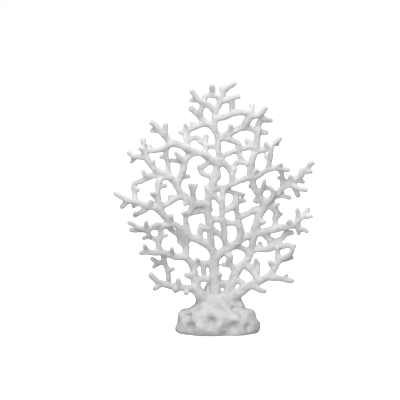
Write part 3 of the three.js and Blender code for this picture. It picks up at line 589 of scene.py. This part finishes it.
def fused_skin(form):
    """The whole colony as one skin, which piece each face belongs to, and the painted hollow shade on each
    point.
    """
    points, quads = foot_surface()
    parts, faces, first = [points], [quads], len(points)
    paths, owners, claims = [], [], []
    for piece, limbs in LIMBS.items():
        for diameters, lifts, route in limbs:
            paths.append(limb_path(diameters, lifts, route, form.limb_skin / MM, LIMB_STEP))
            owners.append(PIECES.index(piece))
    for owner, limb_run in zip(owners, paths):
        wide, claim = flared(limb_run, paths, form.root_flare)
        claims.append((owner, limb_run[0], claim))
        tube, walls = limb_tube(limb_run[0], wide + RELAX_DRAW / wide, LIMB_SIDES)
        parts.append(tube)
        faces.append(walls + first)
        first += len(tube)
    voxel = form.voxel / MM * 1.0
    points, quads = remeshed("colony", np.vstack(parts), np.vstack(faces), voxel)
    points, quads = webbed(points, quads, form.web_reach / MM, voxel)
    points, quads, edges, sides = without_crumbs(points, quads)
    points = relaxed(points, edges, form.relax_rounds, 0.5)
    owner = face_owners(points[quads].mean(axis=1), claims)
    owner = without_islands(evened(owner, sides), sides)
    points, painted_hollow_shade = roughened(points, quads, form)
    return points, quads, owner, painted_hollow_shade


def webbed(points, quads, reach, voxel):
    """Webs the forks: the skin is grown by the reach, fused again where it now meets itself, and
    drawn back by the same reach, which leaves a fillet in every fork and nothing elsewhere."""
    points = points + point_normals(points, quads) * reach
    points, quads = remeshed("webs", points, quads, voxel)
    return points - point_normals(points, quads) * reach, quads


def flared(limb_run, paths, flare):
    """The limb's radius, widened where it leaves another limb: r (1 + flare exp(-d / fade)) of the
    distance d from the host's surface, with no more flare than the host has room for. The tip
    widens too if it ends inside another limb. Also returns the radius the limb claims of the skin,
    r (1 - keep exp(-d / fade)), so that a host keeps its own surface round a fork."""
    path, radius, stops = limb_run
    wide, claim = radius.copy(), radius.copy()
    for end, run in ((0, stops), (-1, stops[-1] - stops)):
        host = 0.0
        for other in paths:
            if other is limb_run:
                continue
            away = np.linalg.norm(other[0] - path[end], axis=1)
            k = away.argmin()
            if away[k] < other[1][k]:
                host = max(host, other[1][k])
        if host > 0.0:
            room = np.clip(HOST_FILL * host / radius[end] - 1.0, 0.0, flare)
            near = np.exp(-np.maximum(run - host, 0.0) / FORK_FADE)
            wide *= 1.0 + room * near
            claim *= 1.0 - HOST_KEEP * near
    return wide, claim


def face_owners(middles, claims):
    """The piece each face belongs to: the one whose limb surface is nearest, or the foot."""
    owner = np.zeros(len(middles), np.int64)
    nearest = np.full(len(middles), np.inf)
    for piece, path, radius in claims:
        reach = radius.max() + 5.0
        inside = (middles > path.min(0) - reach) & (middles < path.max(0) + reach)
        close = np.flatnonzero(inside.all(axis=1))
        gap = (np.linalg.norm(middles[close, None] - path[None], axis=2) - radius[None]).min(axis=1)
        better = gap < nearest[close]
        nearest[close[better]] = gap[better]
        owner[close[better]] = piece
    owner[inside_foot(middles, FOOT_MARGIN)] = PIECES.index("holdfast")
    return owner


def evened(owner, sides):
    """The owners with their borders evened out: in each round a face goes to the piece that most
    of its neighbours and itself belong to."""
    for _ in range(EVEN_ROUNDS):
        votes = np.zeros((len(owner), len(PIECES)))
        votes[np.arange(len(owner)), owner] = OWN_VOTE
        np.add.at(votes, (sides[:, 0], owner[sides[:, 1]]), 1.0)
        np.add.at(votes, (sides[:, 1], owner[sides[:, 0]]), 1.0)
        owner = votes.argmax(axis=1)
    return owner


def patches(owner, sides):
    """The connected patch of one owner that each face is in, named by the lowest face in it."""
    patch = np.arange(len(owner))
    a, b = sides[owner[sides[:, 0]] == owner[sides[:, 1]]].T
    while True:
        low = np.minimum(patch[a], patch[b])
        before = patch.copy()
        np.minimum.at(patch, a, low)
        np.minimum.at(patch, b, low)
        patch = patch[patch]
        if (patch == before).all():
            return patch


def without_crumbs(points, quads):
    """The largest connected body of a mesh, with its edges and the two faces on each edge."""
    edges, sides = quad_edges(quads)
    patch = patches(np.zeros(len(quads), np.int64), sides)
    whole = patch == np.bincount(patch).argmax()
    used, corners = np.unique(quads[whole], return_inverse=True)
    points, quads = points[used], corners.reshape(-1, 4)
    return (points, quads) + tuple(quad_edges(quads))


def without_islands(owner, sides):
    """Patches of a piece that are cut off from it join the piece round them."""
    a, b = sides[:, 0], sides[:, 1]
    for _ in range(3):
        patch = patches(owner, sides)
        size = np.bincount(patch, minlength=len(owner))
        largest = np.zeros(len(PIECES), np.int64)
        np.maximum.at(largest, owner, size[patch])
        small = size[patch] < largest[owner]
        if not small.any():
            break
        border = owner[a] != owner[b]
        votes = np.zeros((len(owner), len(PIECES)), np.int64)
        np.add.at(votes, (patch[a[border]], owner[b[border]]), 1)
        np.add.at(votes, (patch[b[border]], owner[a[border]]), 1)
        owner = np.where(small, votes[patch].argmax(axis=1), owner)
    return owner


def roughened(points, quads, form):
    """Knobs and grain: points move along their outward direction by layers of noise. Also returns
    how deep each point lies in a hollow, where shade is painted."""
    broad = 0.55 * lattice_noise(points, *SWELL) + 0.7 * lattice_noise(points, *KNOBS)
    low = 1.0 - smoothstep((points[:, 2] - LUMPS_TOP) / LUMPS_FADE)
    out = (low * form.foot_height * lattice_noise(points, *FOOT_LUMPINESS)
           + form.knob_height * broad
           + form.nodule_height * lattice_noise(points, *NODULES)
           + form.grain_height * lattice_noise(points, *GRAIN)) / MM
    return points + point_normals(points, quads) * out[:, None], hollows(points, out)


def hollows(points, out):
    """How deep each point lies in a hollow of the noise or of the foot, 0 to 1: where shade is painted."""
    deep = np.clip(-out / NOISE_SHADE_DEPTH, 0.0, 1.0)
    for lx, ly, lz, height, width in FOOT_LUMPS:
        if height < -FOOT_HOLLOW:
            away = ((points - (lx, ly, lz)) ** 2).sum(axis=1)
            deep -= height / FOOT_SHADE_DEPTH * np.exp(-away / (0.9 * width) ** 2)
    return np.clip(deep, 0.0, 1.0)


def piece_object(name, points, quads, painted_hollow_shade, chosen, material):
    """The chosen faces as a closed body: its cut rims are filled, and the rims stay sharp."""
    used, corners = np.unique(quads[chosen], return_inverse=True)
    mesh = new_mesh(name, points[used], corners.reshape(-1, 4).tolist())
    held = mesh.attributes.new(HOLLOW_SHADE, "FLOAT", "POINT")
    held.data.foreach_set("value", painted_hollow_shade[used].astype(np.float32))
    body = bmesh.new()
    body.from_mesh(mesh)
    for face in body.faces:
        face.smooth = True
    rims = [edge for edge in body.edges if edge.is_boundary]
    for edge in rims:
        edge.smooth = False
    caps = bmesh.ops.holes_fill(body, edges=rims, sides=0)["faces"]
    bmesh.ops.poke(body, faces=caps)
    body.to_mesh(mesh)
    body.free()
    mesh.materials.append(material)
    return add_object(name, mesh)


_colony = {}


def colony(form):
    """The fused skin, worked out once for all pieces and again when a setting has changed."""
    key = tuple(getattr(form, name) for name in form.__annotations__)
    if _colony.get("key") != key:
        _colony.update(key=key, skin=fused_skin(form))
    return _colony["skin"]


def show_piece(context, node, material):
    """One piece of the colony, in place of its CAD node."""
    points, quads, owner, painted_hollow_shade = colony(context.scene.coral_form)
    chosen = owner == PIECES.index(node)
    if not chosen.any():
        raise RuntimeError(f"no part of the skin belongs to {node}")
    piece = piece_object(f"{node}_coral", points, quads, painted_hollow_shade, chosen, material)
    if node == "holdfast":
        cut_flat(piece.data)
    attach(piece, "root")
    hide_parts(node)
    return piece


def cut_flat(mesh):
    """Cuts the foot off flat at z = 0, where the colony rests."""
    body = bmesh.new()
    body.from_mesh(mesh)
    cut = bmesh.ops.bisect_plane(body, geom=body.verts[:] + body.edges[:] + body.faces[:],
                                 plane_co=(0, 0, 0), plane_no=(0, 0, 1), clear_inner=True)
    rim = [e for e in cut["geom_cut"] if isinstance(e, bmesh.types.BMEdge)]
    for edge in rim:
        edge.smooth = False
    caps = bmesh.ops.holes_fill(body, edges=rim, sides=0)["faces"]
    bmesh.ops.triangulate(body, faces=caps, ngon_method="BEAUTY")
    body.to_mesh(mesh)
    body.free()


# ---------------------------------------------------------------- finishes
def linear(hexed):
    """An sRGB hex colour as linear red, green, blue and full alpha."""
    parts = [int(hexed[k:k + 2], 16) / 255 for k in (1, 3, 5)]
    return tuple(v / 12.92 if v <= 0.04045 else ((v + 0.055) / 1.055) ** 2.4 for v in parts) + (1.0,)


def add_node(tree, kind, settings=None, inputs=None, links=None):
    """Adds a node with its settings, its input values, and links from (node, output) to inputs."""
    node = tree.nodes.new(kind)
    for key, value in (settings or {}).items():
        setattr(node, key, value)
    for key, value in (inputs or {}).items():
        node.inputs[key].default_value = value
    for key, (source, output) in (links or {}).items():
        tree.links.new(source.outputs[output], node.inputs[key])
    return node


def mottled(tree, place, shade, pale):
    """Patches of a duller and a paler tone, about 9 mm across: the noise repeats once in each
    scale unit of a metre."""
    blotches = add_node(tree, "ShaderNodeTexNoise",
                        inputs={"Scale": 1 / 0.009, "Detail": 3.0, "Roughness": 0.6},
                        links={"Vector": (place, "Object")})
    tone = add_node(tree, "ShaderNodeValToRGB", links={"Fac": (blotches, "Fac")})
    tone.color_ramp.elements[0].position, tone.color_ramp.elements[1].position = 0.3, 0.62
    tone.color_ramp.elements[0].color, tone.color_ramp.elements[1].color = shade, pale
    return tone


def dried_aragonite(name, grain_depth):
    """Dried coral skeleton: bleached aragonite, chalky and matte, faintly mottled. It is painted darker
    towards the bottom and paler towards the top, painted shade as if the light fell from above, the
    hollows are painted darker as shade by how deep they lie, and a fine granular tooth breaks up every
    highlight."""
    colours = bpy.context.scene.coral_finish
    material = bpy.data.materials.new(name)
    material.use_nodes = True
    tree = material.node_tree
    tree.nodes.clear()
    place = add_node(tree, "ShaderNodeTexCoord")
    # Painted shade: the foot's darker tones at the bottom fade into the limbs' paler tones higher up, as
    # if the light fell from above.
    low_tone = mottled(tree, place, linear(hexed(colours.foot_shade)), linear(hexed(colours.foot_pale)))
    high_tone = mottled(tree, place, linear(hexed(colours.limb_shade)), linear(hexed(colours.limb_pale)))
    # The mix by height, from 30 to 150 mm: painted shade, darker towards the bottom.
    height = add_node(tree, "ShaderNodeSeparateXYZ", links={"Vector": (place, "Object")})
    height_shade = add_node(tree, "ShaderNodeMapRange", inputs={"From Min": 0.03, "From Max": 0.15},
                   links={"Value": (height, "Z")})
    # grown holds the tone mixed by height, with its painted shade towards the bottom.
    grown = add_node(tree, "ShaderNodeMixRGB", links={"Fac": (height_shade, "Result"), "Color1": (low_tone, "Color"),
                                                      "Color2": (high_tone, "Color")})
    # Painted shade: the hollows are mixed towards a grey by how deep they lie.
    hollow = add_node(tree, "ShaderNodeAttribute", settings={"attribute_name": HOLLOW_SHADE})
    shade_amount = add_node(tree, "ShaderNodeMath", settings={"operation": "MULTIPLY"}, inputs={1: 0.42},
                       links={0: (hollow, "Fac")})
    hollow_shaded = add_node(tree, "ShaderNodeMixRGB", inputs={"Color2": linear(hexed(colours.painted_hollow_shade))},
                     links={"Fac": (shade_amount, "Value"), "Color1": (grown, "Color")})
    # Grain of about 0.9 mm, coarser than the real 0.3 mm so that it shows.
    grain = add_node(tree, "ShaderNodeTexNoise",
                     inputs={"Scale": 1 / 0.0009, "Detail": 2.0, "Roughness": 0.7},
                     links={"Vector": (place, "Object")})
    tooth = add_node(tree, "ShaderNodeBump", inputs={"Strength": 0.5, "Distance": grain_depth},
                     links={"Height": (grain, "Fac")})
    shader = add_node(tree, "ShaderNodeBsdfPrincipled",
                      inputs={"Roughness": 0.9, "IOR": 1.53, "Specular IOR Level": 0.3},
                      links={"Base Color": (hollow_shaded, "Color"), "Normal": (tooth, "Normal")})
    add_node(tree, "ShaderNodeOutputMaterial", links={"Surface": (shader, "BSDF")})
    return material


def limb_finish(name="limb_aragonite"):
    """The limbs' aragonite, with a tooth 0.12 mm deep."""
    return bpy.data.materials.get(name) or dried_aragonite(name, 0.12 * MM)


def foot_finish(name="foot_aragonite"):
    """The foot's aragonite, with a coarser tooth, 0.18 mm deep."""
    return bpy.data.materials.get(name) or dried_aragonite(name, 0.18 * MM)


def hexed(colour):
    """A picked colour as an sRGB hex value."""
    return "#" + "".join(f"{round(max(0.0, min(1.0, v)) * 255):02x}" for v in colour[:3])


def picked(hexvalue):
    """An sRGB hex value as the gamma colour a picker holds."""
    return tuple(int(hexvalue[k:k + 2], 16) / 255 for k in (1, 3, 5))


# ---------------------------------------------------------------- settings
def length(name, description, default, most, least=0.0):
    """A length setting from millimetres."""
    return FloatProperty(name=name, description=description, default=default * MM, min=least * MM,
                         max=most * MM, subtype="DISTANCE", unit="LENGTH")


def colour(name, description, hexvalue):
    """A colour setting from an sRGB hex value."""
    return FloatVectorProperty(name=name, description=description, size=3, default=picked(hexvalue),
                               min=0.0, max=1.0, subtype="COLOR_GAMMA")


class CoralForm(bpy.types.PropertyGroup):
    limb_skin: length("Limb skin", "Thickness the knobbly skin adds to a limb's diameter", 1.4, 4)
    root_flare: FloatProperty(name="Root flare", description="Share by which a limb widens at its host",
                              default=0.36, min=0.0, max=1.0, subtype="FACTOR")
    web_reach: length("Web reach", "Radius of the webs in the forks", 0.8, 4)
    relax_rounds: IntProperty(name="Relax rounds", description="Rounds of smoothing that fillet the forks",
                              default=9, min=0, max=60)
    voxel: length("Skin detail", "Size of the skin's faces", 0.66, 3, least=0.4)
    knob_height: length("Knob height", "Height of the broad knobs", 0.75, 3)
    nodule_height: length("Nodule height", "Height of the small nodules", 0.34, 1)
    foot_height: length("Foot lump height", "Height of the lumps of the foot", 1.3, 5)
    grain_height: length("Grain height", "Height of the fine grain", 0.09, 1)


class CoralFinish(bpy.types.PropertyGroup):
    limb_pale: colour("Limb, pale", "Bleached aragonite of the limbs", "#ecedec")
    limb_shade: colour("Limb, shade", "Duller patches of the limbs", "#dadbdb")
    # The foot's tones are the low end of the mix by height and are darker than the limbs': painted shade
    # towards the bottom.
    foot_pale: colour("Foot, pale", "Bleached aragonite of the foot", "#dadbdc")
    foot_shade: colour("Foot, shade", "Duller patches of the foot", "#c9cbcc")
    # Painted shade: the grey that darkens the hollows.
    painted_hollow_shade: colour("Dust", "Grey dust in the hollows", "#8f9293")


class CoralStage(bpy.types.PropertyGroup):
    floor_radius: FloatProperty(name="Floor radius", description="Radius of the plain pale floor",
                                default=6.0, min=1.0, max=200.0, subtype="DISTANCE", unit="LENGTH")
    camera_distance: FloatProperty(name="Camera distance", description="Camera to the fan's middle",
                                   default=1.9, min=0.3, max=10.0, subtype="DISTANCE", unit="LENGTH")
    camera_height: FloatProperty(name="Camera elevation", description="How far the camera looks down",
                                 default=math.radians(8.0), min=0.0, max=1.5, subtype="ANGLE")
    focal_length: FloatProperty(name="Focal length", description="Of a 36 mm wide sensor, in millimetres",
                                default=144.27, min=10.0, max=400.0, subtype="NONE")


# ---------------------------------------------------------------- operators
class CORAL_OT_foot(bpy.types.Operator):
    """Show the lumpy holdfast, cut off flat underneath"""
    bl_idname = "coral.foot"
    bl_label = "Holdfast"

    def execute(self, context):
        show_piece(context, "holdfast", foot_finish())
        return {"FINISHED"}


class CORAL_OT_stems(bpy.types.Operator):
    """Show the trunk and the stems that carry the fan"""
    bl_idname = "coral.stems"
    bl_label = "Trunk and stems"

    def execute(self, context):
        for node in STEMS:
            show_piece(context, node, limb_finish())
        return {"FINISHED"}


class CORAL_OT_arms(bpy.types.Operator):
    """Show the arms on both sides of the fan"""
    bl_idname = "coral.arms"
    bl_label = "Arms"

    def execute(self, context):
        for node in ARMS:
            show_piece(context, node, limb_finish())
        return {"FINISHED"}


class CORAL_OT_crown(bpy.types.Operator):
    """Show the crown's arm, loops and arches"""
    bl_idname = "coral.crown"
    bl_label = "Crown"

    def execute(self, context):
        for node in CROWN:
            show_piece(context, node, limb_finish())
        return {"FINISHED"}


class CORAL_OT_meshwork(bpy.types.Operator):
    """Show the mesh of limbs between the trunk and the right stem"""
    bl_idname = "coral.meshwork"
    bl_label = "Inner mesh"

    def execute(self, context):
        for node in MESHWORK:
            show_piece(context, node, limb_finish())
        return {"FINISHED"}


class CORAL_OT_stage(bpy.types.Operator):
    """Lay a plain pale floor under soft studio light and set up the camera"""
    bl_idname = "coral.stage"
    bl_label = "Stage"

    def execute(self, context):
        stage = context.scene.coral_stage
        lay_floor(stage.floor_radius)
        light_studio()
        set_camera(context, stage)
        return {"FINISHED"}


def lay_floor(radius):
    """A round floor of matte white paper, lit through from below like a product table."""
    turn = np.linspace(0, 2 * np.pi, 64, endpoint=False)
    rim = np.stack([radius * np.cos(turn), radius * np.sin(turn), np.zeros(64)], axis=1)
    mesh = bpy.data.meshes.new("floor")
    mesh.from_pydata(rim.tolist(), [], [list(range(64))])
    paper = bpy.data.materials.new("matte_white_paper")
    paper.use_nodes = True
    paper.node_tree.nodes.clear()
    tree = paper.node_tree
    shade = add_node(tree, "ShaderNodeBsdfDiffuse", inputs={"Color": linear("#f7f7f7")})
    glow = add_node(tree, "ShaderNodeEmission", inputs={"Color": (1, 1, 1, 1), "Strength": 0.8})
    both = add_node(tree, "ShaderNodeAddShader", links={0: (shade, "BSDF"), 1: (glow, "Emission")})
    add_node(tree, "ShaderNodeOutputMaterial", links={"Surface": (both, "Shader")})
    mesh.materials.append(paper)
    floor = add_object("floor", mesh)
    floor.visible_diffuse = False


def soft_light(name, place, target, size, power):
    """A square soft box that faces the target."""
    light = bpy.data.lights.new(name, "AREA")
    light.shape, light.size, light.energy = "SQUARE", size, power
    lamp = add_object(name, light)
    lamp.location = place
    lamp.rotation_euler = (Vector(target) - Vector(place)).to_track_quat("-Z", "Y").to_euler()


def light_studio():
    """Soft boxes above, in front and weakly behind, and a plain white surround that fills the shade."""
    soft_light("overhead_box", (0.0, -0.5, 1.5), SOFT_AIM, 1.3, 14.6)
    soft_light("front_box", (-0.4, -2.0, 0.9), SOFT_AIM, 1.0, 20.5)
    soft_light("back_box", (0.5, 1.9, 0.8), SOFT_AIM, 1.0, 11.0)
    world = bpy.data.worlds.new("white_surround")
    world.use_nodes = True
    tree = world.node_tree
    tree.nodes.clear()
    fill = add_node(tree, "ShaderNodeBackground", inputs={"Color": (1, 1, 1, 1), "Strength": 0.24})
    seen = add_node(tree, "ShaderNodeBackground", inputs={"Color": (1, 1, 1, 1), "Strength": 1.0})
    ray = add_node(tree, "ShaderNodeLightPath")
    both = add_node(tree, "ShaderNodeMixShader", links={0: (ray, "Is Camera Ray"), 1: (fill, "Background"),
                                                        2: (seen, "Background")})
    add_node(tree, "ShaderNodeOutputWorld", links={"Surface": (both, "Shader")})
    bpy.context.scene.world = world


def set_camera(context, stage):
    """The camera, looking a little down on the front of the fan."""
    target = Vector((-0.0195, 0.0, 0.1590))
    back = Vector((0.0, -math.cos(stage.camera_height), math.sin(stage.camera_height)))
    data = bpy.data.cameras.new("camera")
    data.lens, data.sensor_width, data.clip_end = stage.focal_length, 36.0, 200.0
    camera = add_object("camera", data)
    camera.location = target + back * stage.camera_distance
    camera.rotation_euler = (target - camera.location).to_track_quat("-Z", "Y").to_euler()
    context.scene.camera = camera
    context.scene.view_settings.view_transform = "Standard"


class CORAL_PT_panel(bpy.types.Panel):
    """The coral's settings and its pieces, in the 3D view's sidebar"""
    bl_label = "Branching Coral"
    bl_idname = "CORAL_PT_panel"
    bl_space_type = "VIEW_3D"
    bl_region_type = "UI"
    bl_category = "Coral"

    def draw(self, context):
        scene = context.scene
        for group in (scene.coral_form, scene.coral_finish, scene.coral_stage):
            box = self.layout.box()
            for key in group.__annotations__:
                box.prop(group, key)
        for operator in OPERATORS:
            self.layout.operator(operator.bl_idname)


OPERATORS = (CORAL_OT_foot, CORAL_OT_stems, CORAL_OT_arms, CORAL_OT_crown, CORAL_OT_meshwork,
             CORAL_OT_stage)
CLASSES = (CoralForm, CoralFinish, CoralStage) + OPERATORS + (CORAL_PT_panel,)


def register():
    for cls in CLASSES:
        bpy.utils.register_class(cls)
    bpy.types.Scene.coral_form = PointerProperty(type=CoralForm)
    bpy.types.Scene.coral_finish = PointerProperty(type=CoralFinish)
    bpy.types.Scene.coral_stage = PointerProperty(type=CoralStage)


def unregister():
    del bpy.types.Scene.coral_stage
    del bpy.types.Scene.coral_finish
    del bpy.types.Scene.coral_form
    for cls in reversed(CLASSES):
        bpy.utils.unregister_class(cls)


def main():
    register()
    bpy.ops.coral.foot()
    bpy.ops.coral.stems()
    bpy.ops.coral.arms()
    bpy.ops.coral.crown()
    bpy.ops.coral.meshwork()
    bpy.ops.coral.stage()


if __name__ == "__main__":
    main()
